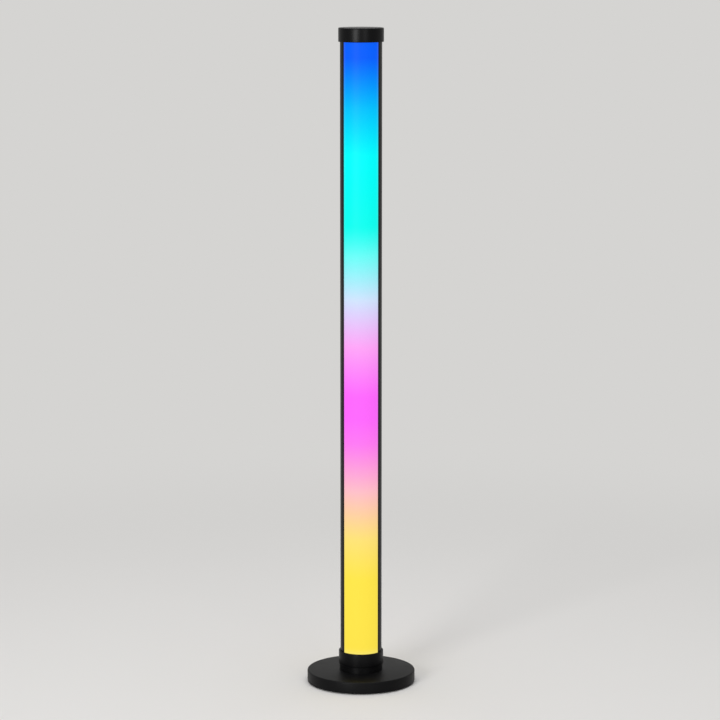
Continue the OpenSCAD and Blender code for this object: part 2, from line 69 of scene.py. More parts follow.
def feed(node, inputs):
    # an input takes a plain value, the output that feeds it, or a list of such outputs
    for key, given in inputs.items():
        for value in given if isinstance(given, list) else [given]:
            if isinstance(value, bpy.types.NodeSocket):
                node.id_data.links.new(value, node.inputs[key])
            else:
                node.inputs[key].default_value = value


def addNode(tree, kind, inputs=None, **settings):
    node = tree.nodes.new(kind)
    for key, value in settings.items():
        setattr(node, key, value)
    feed(node, inputs or {})
    return node


def outputOf(tree, kind, inputs=None, which=0, **settings):
    return addNode(tree, kind, inputs, **settings).outputs[which]


def maths(tree, operation, *values):
    return outputOf(tree, "ShaderNodeMath", dict(enumerate(values)), operation=operation)


def rangeOf(tree, value, low, high, toLow=0.0, toHigh=1.0, kind="LINEAR"):
    ends = {"From Min": low, "From Max": high, "To Min": toLow, "To Max": toHigh}
    return outputOf(tree, "ShaderNodeMapRange", {"Value": value, **ends}, interpolation_type=kind)


def mixedColour(tree, factor, first, second, **settings):
    colours = {6: first, 7: second}
    return outputOf(tree, "ShaderNodeMix", {"Factor": factor, **colours}, 2, data_type="RGBA", **settings)


def bumpOf(tree, height, depth):
    return outputOf(tree, "ShaderNodeBump", {"Height": height, "Strength": 1.0, "Distance": depth * mm})


def ownPlace(tree):
    return outputOf(tree, "ShaderNodeTexCoord", which="Object")


def axesOf(tree, vector):
    return addNode(tree, "ShaderNodeSeparateXYZ", {0: vector}).outputs


def lengthOf(tree, vector):
    return outputOf(tree, "ShaderNodeVectorMath", {0: vector}, "Value", operation="LENGTH")


def upwards(tree, height):
    return outputOf(tree, "ShaderNodeCombineXYZ", {"Z": height})


def linear(colour):
    # a colour written 0 to 255, as the shader wants it
    def one(value):
        value /= 255
        return value / 12.92 if value <= 0.04045 else ((value + 0.055) / 1.055) ** 2.4
    return [one(value) for value in colour]


def paint(colour):
    return (*linear(colour), 1)


def newMaterial(name):
    material = bpy.data.materials.new(name)
    material.use_nodes = True
    return material, material.node_tree, material.node_tree.nodes["Principled BSDF"]


# outlines and meshes

beyond = 1.0  # how far a cutting tool reaches past what it cuts
proud = 0.01  # how far a recess keeps its full width past the face
weldReach = 1e-5  # points closer than this become one
boreSides = 48


def rounded(corners, steps=6):
    # points of an outline whose corners are (x, y) or, with a rounding, (x, y, radius)
    points = []
    for i, corner in enumerate(corners):
        here = Vector(corner[:2])
        radius = corner[2] if len(corner) > 2 else 0
        if not radius:
            points.append(tuple(here))
            continue
        back = (Vector(corners[i - 1][:2]) - here).normalized()
        ahead = (Vector(corners[(i + 1) % len(corners)][:2]) - here).normalized()
        half = back.angle(ahead) / 2
        centre = here + (back + ahead).normalized() * radius / math.sin(half)
        start = (here + back * radius / math.tan(half) - centre).normalized()
        end = (here + ahead * radius / math.tan(half) - centre).normalized()
        points += [tuple(centre + radius * start.slerp(end, step / steps)) for step in range(steps + 1)]
    return points


def polar(radius, angle, centre=(0, 0)):
    angle = math.radians(angle)
    return centre[0] + radius * math.cos(angle), centre[1] + radius * math.sin(angle)


def arc(radius, start, end, steps, centre=(0, 0)):
    # points of an arc, its angles in degrees
    return [polar(radius, start + (end - start) * step / steps, centre) for step in range(steps + 1)]


def turnedRings(profile, sides, shape=None):
    # rings of a profile of (radius, height), which shape(angle, radius, height) may draw in
    turns = [2 * math.pi * i / sides for i in range(sides)]
    reach = shape or (lambda a, r, z: r)
    return [[(reach(a, r, z) * math.cos(a), reach(a, r, z) * math.sin(a), z) for a in turns]
            for r, z in profile]


def wrap(rings, loop=False):
    # skin over rings of points, closed at its ends, or joined to itself where the rings form a loop
    form = bmesh.new()
    rows = [[form.verts.new(point) for point in ring] for ring in rings]
    for lower, upper in zip(rows, rows[1:] + rows[:1] if loop else rows[1:]):
        for i in range(len(lower)):
            j = (i + 1) % len(lower)
            form.faces.new((lower[i], lower[j], upper[j], upper[i]))
    if not loop:
        form.faces.new(rows[0][::-1])
        form.faces.new(rows[-1])
    bmesh.ops.remove_doubles(form, verts=form.verts, dist=weldReach)
    bmesh.ops.recalc_face_normals(form, faces=form.faces)
    mesh = bpy.data.meshes.new("form")
    form.to_mesh(mesh)
    form.free()
    return mesh


def turned(profile, sides=64, loop=False):
    return wrap(turnedRings(profile, sides), loop)


def rod(radius, low, high, sides=boreSides):
    return turned([(0, low), (radius, low), (radius, high), (0, high)], sides)


def disc(radius, low, high, lowEdge, highEdge, sides):
    # a rod with both of its rims rounded, or with one where the other's rounding is 0
    return turned(rounded([(0, low), (radius, low, lowEdge), (radius, high, highEdge), (0, high)]), sides)


def prism(outline, low, high):
    return wrap([[(x, y, low) for x, y in outline], [(x, y, high) for x, y in outline]])


def slab(x0, x1, y0, y1, z0, z1):
    return prism([(x0, y0), (x1, y0), (x1, y1), (x0, y1)], z0, z1)


def moved(mesh, *steps):
    # a copy of the mesh after the given matrices, the last one first
    copy = mesh.copy()
    for step in reversed(steps):
        copy.transform(step)
    return copy


def linked(name, data):
    thing = bpy.data.objects.new(name, data)
    scene.collection.objects.link(thing)
    return thing


def evaluatedMesh(piece):
    graph = bpy.context.evaluated_depsgraph_get()
    return bpy.data.meshes.new_from_object(
        piece.evaluated_get(graph), preserve_all_data_layers=True, depsgraph=graph)


def carved(mesh, others, operation="DIFFERENCE"):
    # the mesh with the others cut out of it, or united with them
    holder = linked("holder", mesh)
    tools = bpy.data.collections.new("tools")
    scene.collection.children.link(tools)
    for other in others:
        tools.objects.link(bpy.data.objects.new("tool", other))
    modifier = holder.modifiers.new("carve", "BOOLEAN")
    modifier.operation, modifier.solver = operation, "EXACT"
    modifier.operand_type, modifier.collection = "COLLECTION", tools
    result = evaluatedMesh(holder)
    for tool in list(tools.objects):
        bpy.data.objects.remove(tool)
    bpy.data.collections.remove(tools)
    bpy.data.objects.remove(holder)
    return result


# camera, stage and lights

cameraSetup = {
    "distance": 4.128, "height": 1.151, "aside": -0.0016, "tilt": 8.962, "lens": 138.05, "sensor": 36,
}
stageSetup = {
    "paper": (231, 229, 226), "roughness": 0.6, "specular": 0.1, "radius": 9.0, "sides": 96,
    "surroundings": (213, 212, 210), "fadeFrom": 0.3, "fadeTo": 2.0,  # what the floor fades into
}
lightSetup = {
    "leftStrip": {"place": (-2.0, -3.81, 1.0), "size": (1.3, 1.8), "power": 128},
    "rightStrip": {"place": (1.5, -4.04, 1.0), "size": (1.5, 1.8), "power": 26},
    "overhead": {"place": (0.0, 0.0, 3.3), "size": (3.2, 3.2), "power": 72},
}
lightAim = Vector((0, 0, 0.5))
worldSetup = {"colour": (0.9, 0.92, 0.95), "strength": 0.27}


def makeCamera():
    data = bpy.data.cameras.new("camera")
    data.lens, data.sensor_width = cameraSetup["lens"], cameraSetup["sensor"]
    camera = linked("camera", data)
    camera.location = (cameraSetup["aside"], -cameraSetup["distance"], cameraSetup["height"])
    camera.rotation_euler = (math.radians(90 - cameraSetup["tilt"]), 0, 0)
    scene.camera = camera


def seenDirectly(tree):
    # 1 for what the camera sees, also in gloss and through glass, and 0 for the light that falls on things
    rays = addNode(tree, "ShaderNodeLightPath").outputs
    straight = maths(tree, "MAXIMUM", rays["Is Camera Ray"], rays["Is Glossy Ray"])
    return maths(tree, "MAXIMUM", straight, rays["Is Transmission Ray"])


def makeStage():
    # a pale round floor that fades into the plain surroundings on every side
    sides = stageSetup["sides"]
    mesh = bpy.data.meshes.new("studioFloor")
    mesh.from_pydata(turnedRings([(stageSetup["radius"], 0)], sides)[0], [], [range(sides)])
    material, tree, paper = newMaterial("studioPaper")
    feed(paper, {"Base Color": paint(stageSetup["paper"]), "Roughness": stageSetup["roughness"],
                 "Specular IOR Level": stageSetup["specular"]})
    far = outputOf(tree, "ShaderNodeEmission", {"Color": paint(stageSetup["surroundings"])})
    reach = lengthOf(tree, ownPlace(tree))
    fade = rangeOf(tree, reach, stageSetup["fadeFrom"], stageSetup["fadeTo"], kind="SMOOTHERSTEP")
    share = maths(tree, "MULTIPLY", fade, seenDirectly(tree))
    mix = outputOf(tree, "ShaderNodeMixShader", {0: share, 1: paper.outputs[0], 2: far})
    feed(tree.nodes["Material Output"], {"Surface": mix})
    mesh.materials.append(material)
    linked("studioFloor", mesh)


def makeLights():
    for name, setup in lightSetup.items():
        data = bpy.data.lights.new(name, "AREA")
        data.shape = "RECTANGLE"
        data.size, data.size_y = setup["size"]
        data.energy = setup["power"]
        light = linked(name, data)
        light.location = setup["place"]
        light.rotation_euler = (lightAim - light.location).to_track_quat("-Z", "Y").to_euler()
        light.visible_camera = False
    world = bpy.data.worlds.new("studio")
    world.use_nodes = True
    tree = world.node_tree
    lit = tree.nodes["Background"]
    feed(lit, {"Color": (*worldSetup["colour"], 1), "Strength": worldSetup["strength"]})
    seen = outputOf(tree, "ShaderNodeBackground", {"Color": paint(stageSetup["surroundings"])})
    mix = outputOf(tree, "ShaderNodeMixShader", {0: seenDirectly(tree), 1: lit.outputs[0], 2: seen})
    feed(tree.nodes["World Output"], {"Surface": mix})
    scene.world = world


scene.view_settings.view_transform = "Standard"
makeCamera()
makeStage()
makeLights()
print("camera, stage and lights made")


# the frame's own measures

slotOf = {row["node"]: row["material_slot"] for row in frame["record"]["subparts"]}
bodyOf = {node: body for body, members in frame["record"]["behaviour"]["bodies"].items() for node in members}


def lowest(node):
    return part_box(node)[0] / mm


def highest(node):
    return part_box(node)[1] / mm


levels = {
    "plate": lowest("base_shell").z, "baseTop": highest("base_shell").z,
    "collar": lowest("collar").z, "bay": lowest("threaded_inserts").z, "collarTop": highest("collar").z,
    "column": lowest("column_spine").z, "columnTop": highest("column_spine").z,
    "cap": lowest("top_cap").z, "top": highest("top_cap").z,
    "board": highest("control_board").z,
}
fit = 0.15  # clearance of what slides or drops into place, on each side
portScrewHead = 3.5  # its radius
columnRadius = highest("column_spine").x
fittingRadius = highest("collar").x
bayRadius = highest("neck").x + fit  # the neck's flange drops into the collar
portX = highest("cap_screws").x - portScrewHead


# finishes: colour, roughness from and to, grain size and its stretch along Z in mm, bump depth in mm,
# how far the colour spreads, and plain sockets

finishSetup = {
    "satin_black_steel": {"colour": (8, 8, 9), "rough": (0.4, 0.5), "grain": 0.55, "bump": 0.008,
                          "sockets": {"Specular IOR Level": 0.09}},
    "satin_black_plastic": {"colour": (7, 7, 8), "rough": (0.3, 0.4), "grain": 0.28, "bump": 0.003,
                            "sockets": {"Specular IOR Level": 0.1}},
    "black_aluminium": {"colour": (7, 7, 8), "rough": (0.28, 0.42), "grain": 0.12, "stretch": 400,
                        "bump": 0.0005, "sockets": {"Specular IOR Level": 0.1}},
    "cast_weight": {"colour": (84, 84, 87), "rough": (0.6, 0.8), "grain": 0.9, "bump": 0.06, "spread": 0.35,
                    "sockets": {"Metallic": 0.4}},
    "black_plate": {"colour": (26, 26, 27), "rough": (0.5, 0.62), "grain": 0.4, "bump": 0.01},
    "foot_rubber": {"colour": (25, 25, 25), "rough": (0.72, 0.85), "grain": 0.2, "bump": 0.01,
                    "sockets": {"Specular IOR Level": 0.3}},
    "zinc_screw": {"colour": (192, 194, 198), "rough": (0.24, 0.4), "grain": 0.5, "bump": 0.002,
                   "spread": 0.14, "sockets": {"Metallic": 1.0}},
    "steel_screw": {"colour": (168, 171, 174), "rough": (0.28, 0.42), "grain": 0.3, "bump": 0.003,
                    "spread": 0.12, "sockets": {"Metallic": 1.0}},
    "insert_brass": {"colour": (220, 186, 106), "rough": (0.22, 0.36), "grain": 0.3, "bump": 0.002,
                     "spread": 0.1, "sockets": {"Metallic": 1.0}},
    "chip_black": {"colour": (40, 40, 42), "rough": (0.5, 0.66), "grain": 0.1, "bump": 0.006},
    "shield_can": {"colour": (215, 215, 218), "rough": (0.24, 0.36), "grain": 0.25, "stretch": 12,
                   "bump": 0.001, "spread": 0.08, "sockets": {"Metallic": 1.0}},
    "nylon_white": {"colour": (231, 229, 222), "rough": (0.4, 0.5), "grain": 0.5, "bump": 0.003,
                    "sockets": {"Subsurface Weight": 0.1, "Subsurface Scale": 0.001}},
    "lead_red": {"colour": (176, 34, 30), "rough": (0.28, 0.38), "grain": 0.8, "bump": 0.003},
    "inlet_black": {"colour": (18, 18, 19), "rough": (0.2, 0.3), "grain": 0.3, "bump": 0.002},
    "contact_metal": {"colour": (219, 219, 222), "rough": (0.14, 0.26), "grain": 0.4, "bump": 0.001,
                      "spread": 0.06, "sockets": {"Metallic": 1.0}},
    "button_black": {"colour": (20, 20, 21), "rough": (0.34, 0.44), "grain": 0.16, "bump": 0.004,
                     "sockets": {"Specular IOR Level": 0.35}},
}
grain = {
    "fine": {"Scale": 1.0, "Detail": 3.0, "Roughness": 0.6}, "fineShare": 0.6,
    "broad": {"Scale": 24.0, "Detail": 2.0, "Roughness": 0.5}, "broadShare": 0.4,
    "low": 0.3, "high": 0.7, "spread": 0.2,  # between which the noise drives roughness and colour
}


def addGrain(tree, shader, setup):
    # fine noise on the object's own coordinates, which drives colour, roughness and bump together
    place = ownPlace(tree)
    scale = 1 / (setup["grain"] * mm)
    stretched = outputOf(tree, "ShaderNodeMapping", {
        "Vector": place, "Scale": (scale, scale, scale / setup.get("stretch", 1))})
    fine = outputOf(tree, "ShaderNodeTexNoise", {"Vector": stretched, **grain["fine"]}, "Fac")
    broad = outputOf(tree, "ShaderNodeTexNoise", {"Vector": place, **grain["broad"]}, "Fac")
    broadPart = maths(tree, "MULTIPLY", broad, grain["broadShare"])
    both = maths(tree, "MULTIPLY_ADD", fine, grain["fineShare"], broadPart)
    feed(shader, {"Roughness": rangeOf(tree, both, grain["low"], grain["high"], *setup["rough"]),
                  "Normal": bumpOf(tree, fine, setup["bump"])})
    return both


def plainFinish(slot):
    setup = finishSetup[slot]
    material, tree, shader = newMaterial(slot)
    spread = setup.get("spread", grain["spread"])
    tint = addNode(tree, "ShaderNodeValToRGB", {"Fac": addGrain(tree, shader, setup)})
    ends = ((1 - spread, grain["low"]), (1 + spread, grain["high"]))
    for stop, (share, place) in zip(tint.color_ramp.elements, ends):
        stop.position = place
        stop.color = (*[min(1, value * share) for value in linear(setup["colour"])], 1)
    feed(shader, {"Base Color": tint.outputs["Color"], **setup.get("sockets", {})})
    return material


glow = {
    # the share of the glow's colour painted into the opal's base colour, as painted light
    "strength": 0.825, "glowPaintedBaseShare": 0.15, "roughness": 0.5, "specular": 0.05, "evenness": 2.2,
    "edgeFrom": 22.4, "edgeTo": 25.6, "edgePale": 0.07, "edgeDim": 0.35,  # towards the window's side edges
    # height in mm and the colour that shows there, from the yellow zone up to the blue one
    "stops": [
        (50, (253, 232, 108)), (58, (255, 228, 76)), (165, (255, 229, 76)), (228, (255, 225, 118)),
        (302, (255, 189, 198)), (376, (255, 121, 242)), (414, (254, 104, 253)), (448, (254, 104, 253)),
        (522, (253, 161, 246)), (595, (206, 226, 253)), (662, (104, 252, 246)), (706, (22, 253, 238)),
        (811, (0, 254, 254)), (882, (0, 192, 254)), (956, (16, 97, 253)),
    ],
}


def litOpal():
    # the colour that the zones behind it give the opal, by height, paler and dimmer towards its side edges;
    # the opal's base colour is painted with that glow too, dimmed, as painted light
    material, tree, shader = newMaterial("lit_opal")
    low, high = glow["stops"][0][0] * mm, glow["stops"][-1][0] * mm
    place = axesOf(tree, ownPlace(tree))
    ramp = addNode(tree, "ShaderNodeValToRGB", {"Fac": rangeOf(tree, place["Z"], low, high)})
    stops = ramp.color_ramp.elements
    while len(stops) < len(glow["stops"]):
        stops.new(0.5)
    for stop, (height, colour) in zip(stops, glow["stops"]):
        stop.position = (height * mm - low) / (high - low)
        stop.color = (*[value / 255 for value in colour], 1)
    seen = outputOf(tree, "ShaderNodeGamma", {"Color": ramp.outputs["Color"], "Gamma": glow["evenness"]})
    edge = rangeOf(tree, maths(tree, "ABSOLUTE", place["X"]), glow["edgeFrom"] * mm, glow["edgeTo"] * mm,
                   toHigh=glow["edgePale"], kind="SMOOTHSTEP")
    pale = mixedColour(tree, edge, seen, (*[glow["edgeDim"]] * 3, 1))
    # painted light: the opal's base colour is the glow's colour dimmed, not the white of the opal itself
    glowPaintedBase = mixedColour(tree, 1, pale, (*[glow["glowPaintedBaseShare"]] * 3, 1), blend_type="MULTIPLY")
    feed(shader, {"Base Color": glowPaintedBase, "Emission Color": pale, "Emission Strength": glow["strength"],
                  "Roughness": glow["roughness"], "Specular IOR Level": glow["specular"]})
    return material


boardFinish = {
    "white_board": {"mask": (232, 232, 228), "track": (206, 207, 200), "cell": 2.2},
    "green_board": {"mask": (24, 92, 52), "track": (44, 124, 74), "cell": 1.7},
}
trackFinish = {"edge": 0.42, "depth": 0.02, "roughness": 0.32}


def boardMaterial(slot):
    # copper tracks that show through the solder mask as square cells
    setup = boardFinish[slot]
    material, tree, shader = newMaterial(slot)
    cells = outputOf(tree, "ShaderNodeTexVoronoi", {
        "Vector": ownPlace(tree), "Scale": 1 / (setup["cell"] * mm)},
        "Distance", feature="F1", distance="CHEBYCHEV")
    track = maths(tree, "GREATER_THAN", cells, trackFinish["edge"])
    feed(shader, {"Base Color": mixedColour(tree, track, paint(setup["mask"]), paint(setup["track"])),
                  "Normal": bumpOf(tree, track, trackFinish["depth"]), "Roughness": trackFinish["roughness"]})
    return material


led = {
    "side": 5.0, "height": 1.6, "corner": 0.8, "board": 1.9, "pitch": 16.6, "count": 56,
    "wellRadius": 2.0, "wellFloor": 1.75, "wellDepth": 0.5, "wellSides": 20,
    "package": (236, 235, 228), "phosphor": ((228, 200, 84), (244, 222, 120)), "speck": 4000.0,
    "roughness": 0.3,
}
ledFirst = lowest("front_leds").z + led["side"] / 2


def ledMaterial():
    # white package, with yellow phosphor inside a circle round each LED's middle
    material, tree, shader = newMaterial("led_package")
    half = led["pitch"] / 2
    place = ownPlace(tree)
    split = axesOf(tree, place)
    up = maths(tree, "SUBTRACT", split["Z"], (ledFirst - half) * mm)
    middle = maths(tree, "SUBTRACT", maths(tree, "FLOORED_MODULO", up, led["pitch"] * mm), half * mm)
    flat = outputOf(tree, "ShaderNodeCombineXYZ", {"X": split["X"], "Y": middle})
    inside = maths(tree, "LESS_THAN", lengthOf(tree, flat), led["wellRadius"] * mm)
    noise = outputOf(tree, "ShaderNodeTexNoise", {"Vector": place, "Scale": led["speck"]}, "Fac")
    phosphor = mixedColour(tree, noise, *[paint(colour) for colour in led["phosphor"]])
    feed(shader, {"Base Color": mixedColour(tree, inside, paint(led["package"]), phosphor),
                  "Roughness": led["roughness"]})
    return material


finishes = {slot: plainFinish(slot) for slot in finishSetup}
finishes.update({slot: boardMaterial(slot) for slot in boardFinish})
finishes["lit_opal"] = litOpal()
finishes["led_package"] = ledMaterial()
for name, piece in nodes.items():
    piece.data.materials.clear()
    piece.data.materials.append(finishes[slotOf[name]])
print("materials made:", len(finishes))


sharpAngle = 32  # degrees past which an edge stays sharp


def showPiece(name, mesh, node):
    # a finished mesh in metres, with the finish, the body and the slot of the node that it stands for
    mesh.name = name
    mesh.transform(Matrix.Scale(mm, 4))
    mesh.materials.clear()
    mesh.materials.append(finishes[slotOf[node]])
    mesh.shade_smooth()
    mesh.set_sharp_from_angle(angle=math.radians(sharpAngle))
    piece = linked(name, mesh)
    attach(piece, bodyOf[node])
    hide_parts(node)


# Geometry Nodes trees, each with named inputs, ending in Realize Instances and Set Material

def newTree(name, inputs):
    tree = bpy.data.node_groups.new(name, "GeometryNodeTree")
    for label, kind in {"Geometry": "Geometry", **inputs, "Material": "Material"}.items():
        tree.interface.new_socket(label, in_out="INPUT", socket_type="NodeSocket" + kind)
    tree.interface.new_socket("Geometry", in_out="OUTPUT", socket_type="NodeSocketGeometry")
    return tree, addNode(tree, "NodeGroupInput").outputs


def endTree(tree, source, given):
    real = outputOf(tree, "GeometryNodeRealizeInstances", {"Geometry": source})
    painted = outputOf(tree, "GeometryNodeSetMaterial", {"Geometry": real, "Material": given["Material"]})
    addNode(tree, "NodeGroupOutput", {"Geometry": painted})
    return tree


def grown(start, tree, values):
    # what the tree makes of the starting mesh or curve, as a plain mesh
    holder = bpy.data.objects.new("holder", start)
    modifier = holder.modifiers.new("grow", "NODES")
    modifier.node_group = tree
    sockets = {item.name: item.identifier for item in tree.interface.items_tree if item.in_out == "INPUT"}
    for label, value in values.items():
        modifier[sockets[label]] = value
    scene.collection.objects.link(holder)
    result = evaluatedMesh(holder)
    holder.modifiers.remove(modifier)
    bpy.data.objects.remove(holder)
    return result


# column: spine and diffusers, drawn as sections and extruded

column = {
    "windowWidth": 51.2, "railWall": 1.8, "railEdge": 0.4, "shoulder": 1.2, "web": 1.8, "opal": 1.8,
    "hookReach": 1.0, "ledge": 1.2, "port": 7.4, "bore": 4.1, "boardWidth": 12.0, "board": 1.0,
    "channelWall": 1.2, "lip": 1.0, "lipWall": 0.8, "growth": 0.3,
    "arcSteps": 72, "edgeSteps": 6, "shoulderSteps": 8, "hookSteps": 3, "portSteps": 48,
}


def extrusionTree():
    # fills each drawn outline, extrudes it, unites what overlaps and takes out the bores
    tree, given = newTree("columnExtrusion", {"Low End": "Float", "Length": "Float"})
    number, isBore = [
        outputOf(tree, "GeometryNodeInputNamedAttribute", {"Name": name}, "Attribute", data_type=kind)
        for name, kind in (("shape", "INT"), ("bore", "BOOLEAN"))]
    part = addNode(tree, "GeometryNodeSeparateGeometry", {
        "Geometry": given["Geometry"], "Selection": isBore}, domain="POINT").outputs

    def extruded(source, overshoot):
        curve = outputOf(tree, "GeometryNodeMeshToCurve", {"Mesh": source})
        face = outputOf(tree, "GeometryNodeFillCurve", {"Curve": curve, "Group ID": number}, mode="NGONS")
        way = upwards(tree, maths(tree, "ADD", given["Length"], 2 * overshoot))
        walls = outputOf(tree, "GeometryNodeExtrudeMesh", {
            "Mesh": face, "Offset": way, "Offset Scale": 1.0, "Individual": False})
        under = outputOf(tree, "GeometryNodeFlipFaces", {"Mesh": face})
        both = outputOf(tree, "GeometryNodeJoinGeometry", {"Geometry": [walls, under]})
        weld = outputOf(tree, "GeometryNodeMergeByDistance", {"Geometry": both, "Distance": weldReach})
        return outputOf(tree, "GeometryNodeTransform", {"Geometry": weld, "Translation": (0, 0, -overshoot)})

    shapes, bores = extruded(part["Inverted"], 0), extruded(part["Selection"], beyond)
    solid = outputOf(tree, "GeometryNodeMeshBoolean", {
        "Mesh 2": shapes, "Self Intersection": True}, solver="EXACT", operation="UNION")
    drilled = outputOf(tree, "GeometryNodeMeshBoolean", {
        "Mesh 1": solid, "Mesh 2": bores}, solver="EXACT", operation="DIFFERENCE")
    placed = outputOf(tree, "GeometryNodeTransform", {
        "Geometry": drilled, "Translation": upwards(tree, given["Low End"])})
    return endTree(tree, placed, given)


def drawnSection(shapes, bores=()):
    # closed outlines as edge loops, each marked with its number and whether it is a bore
    points, edges, numbers, bored = [], [], [], []
    for number, outline in enumerate([*shapes, *bores]):
        first = len(points)
        points += [(x, y, 0) for x, y in outline]
        edges += [(first + i, first + (i + 1) % len(outline)) for i in range(len(outline))]
        numbers += [number] * len(outline)
        bored += [number >= len(shapes)] * len(outline)
    mesh = bpy.data.meshes.new("section")
    mesh.from_pydata(points, edges, [])
    mesh.attributes.new("shape", "INT", "POINT").data.foreach_set("value", numbers)
    mesh.attributes.new("bore", "BOOLEAN", "POINT").data.foreach_set("value", bored)
    return mesh


def mirroredX(outline):
    return [(-x, y) for x, y in outline[::-1]]


def mirroredY(outline):
    return [(x, -y) for x, y in outline[::-1]]


def onCircle(radius, x):
    return math.sqrt(radius ** 2 - x ** 2)


windowX = column["windowWidth"] / 2
railInner = columnRadius - column["railWall"]
hookLow = onCircle(railInner, windowX) - 2 * (column["opal"] + fit)


def railOutline():
    # right-hand rail: an arc band between the two windows, with rounded outer edges
    edge, steps = column["railEdge"], column["edgeSteps"]
    centreX = windowX + edge
    centreY = onCircle(columnRadius - edge, centreX)
    turn = math.degrees(math.atan2(centreY, centreX))
    innerTurn = math.degrees(math.acos(windowX / railInner))
    return [
        *arc(edge, 180, turn, steps, (centreX, centreY)),
        *arc(columnRadius, turn, -turn, column["arcSteps"])[1:],
        *arc(edge, -turn, -180, steps, (centreX, -centreY))[1:],
        *arc(railInner, -innerTurn, innerTurn, column["arcSteps"]),
    ]


def spineSection():
    web, midRail = column["web"] / 2, railInner + column["railWall"] / 2
    ledgeTop = hookLow - fit
    ledgeLow, ledgeX = ledgeTop - column["ledge"], windowX - column["opal"]
    channelX, lipX = column["boardWidth"] / 2 + fit, column["boardWidth"] / 2 - column["lip"]
    outX = channelX + column["channelWall"]
    boardY = web + column["board"] + fit
    lipY = boardY + column["lipWall"]
    webOutline = [(-midRail, -web), (midRail, -web), (midRail, web), (-midRail, web)]
    ledge = [(ledgeX, ledgeLow), (onCircle(midRail, ledgeLow), ledgeLow),
             (onCircle(midRail, ledgeTop), ledgeTop), (ledgeX, ledgeTop)]
    channel = [(lipX, boardY), (channelX, boardY), (channelX, -boardY), (lipX, -boardY),
               (lipX, -lipY), (outX, -lipY), (outX, lipY), (lipX, lipY)]
    ledges = [ledge, mirroredX(ledge), mirroredY(ledge), mirroredX(mirroredY(ledge))]
    ports, bores = [[arc(column[kind] / 2, 0, 360, column["portSteps"], (side * portX, 0))[:-1]
                     for side in (-1, 1)] for kind in ("port", "bore")]
    rail = railOutline()
    rails, channels = (rail, mirroredX(rail)), (channel, mirroredX(channel))
    return drawnSection([*rails, webOutline, *ports, *channels, *ledges], bores)


def diffuserSection(side):
    # opal arc flush with the rails, with a leg and a hook along each edge
    wall, shoulder, steps = column["opal"], column["shoulder"], column["arcSteps"] // 2
    legX, hookX = windowX - fit, windowX + column["hookReach"]
    hookRadius = railInner - fit
    centreX = legX - shoulder
    centreY = onCircle(columnRadius - shoulder, centreX)
    turn = math.degrees(math.atan2(centreY, centreX))
    hookTurns = [math.degrees(math.acos(x / hookRadius)) for x in (hookX, legX)]
    innerTurn = math.degrees(math.acos((legX - wall) / (columnRadius - wall)))
    half = [
        *arc(columnRadius, 90, turn, steps)[1:],
        *arc(shoulder, turn, 0, column["shoulderSteps"], (centreX, centreY))[1:],
        *arc(hookRadius, hookTurns[1], hookTurns[0], column["hookSteps"]),
        (hookX, hookLow), (legX - wall, hookLow),
        *arc(columnRadius - wall, innerTurn, 90, steps),
    ]
    outline = [(0, columnRadius), *half, *mirroredX(half)[1:]]
    return drawnSection([outline if side > 0 else mirroredY(outline)])


def makeColumn():
    tree = extrusionTree()
    for name, node, section, growth in (
            ("columnSpine", "column_spine", spineSection(), 0),
            ("frontWindow", "front_diffuser", diffuserSection(-1), column["growth"]),
            ("rearWindow", "rear_diffuser", diffuserSection(1), column["growth"])):
        length = levels["columnTop"] - levels["column"] - 2 * growth
        showPiece(name, grown(section, tree, {
            "Low End": levels["column"] + growth, "Length": length,
            "Material": finishes[slotOf[node]]}), node)


makeColumn()
print("column made")


# base

rings = {  # the radius of each ring of fasteners or feet, and the angles round it
    "column": (22.0, (30, 150, 270)), "plate": (52.5, (45, 135, 225, 315)),
    "board": (23.5, (125, 215, 325)), "feet": (68.5, range(90, 450, 60)),
}
base = {
    "wall": 1.5, "edge": 2.0, "lowEdge": 0.5, "bend": 0.5, "sides": 256, "innerSides": 192,
    "castEdge": 0.8, "plateEdge": 0.3, "plateTopEdge": 0.1, "plateHole": 1.7, "sink": 3.1,
    "screwHole": 2.2, "wellRadius": 5.0, "wellTop": 13.0, "pilotHole": 1.55, "pilotDepth": 6.45,
    "footRecess": 1.0, "footRecessRadius": 8.15, "footSides": 64,
}


def ringOf(mesh, ring):
    radius, angles = rings[ring]
    out = Matrix.Translation((radius, 0, 0))
    return [moved(mesh, Matrix.Rotation(math.radians(angle), 4, "Z"), out) for angle in angles]


def makeBase():
    low, high, wall = levels["plate"], levels["baseTop"], base["wall"]
    radius = highest("base_shell").x
    shell = turned(rounded([
        (0, high), (radius, high, base["edge"]), (radius, low, base["lowEdge"]), (radius - wall, low),
        (radius - wall, high - wall, base["bend"]), (0, high - wall)]), base["sides"])
    columnHoles = ringOf(rod(base["screwHole"], low + wall + beyond / 2, high + beyond), "column")
    showPiece("baseShell", carved(shell, columnHoles), "base_shell")

    radius, low, high = highest("base_weight").x, lowest("base_weight").z, highest("base_weight").z
    weight = disc(radius, low, high, base["castEdge"], base["castEdge"], base["innerSides"])
    wells = ringOf(rod(base["wellRadius"], low - beyond, base["wellTop"]), "column")
    pilots = ringOf(rod(base["pilotHole"], low - beyond, low + base["pilotDepth"]), "plate")
    showPiece("baseWeight", carved(weight, wells + columnHoles + pilots), "base_weight")

    low, high = lowest("base_plate").z, highest("base_plate").z
    plate = disc(radius, low, high, base["plateEdge"], base["plateTopEdge"], base["innerSides"])
    wells = ringOf(rod(base["wellRadius"], low - beyond, high + beyond), "column")
    hole, sink = base["plateHole"], base["sink"]
    countersinks = ringOf(turned([
        (0, low - beyond), (sink, low - beyond), (sink, low), (hole, low + sink - hole),
        (hole, high + beyond), (0, high + beyond)], boreSides), "plate")
    recesses = ringOf(rod(
        base["footRecessRadius"], low - beyond, low + base["footRecess"], base["footSides"]), "feet")
    showPiece("basePlate", carved(plate, wells + countersinks + recesses), "base_plate")


makeBase()
print("base made")


# collar, cap and cover

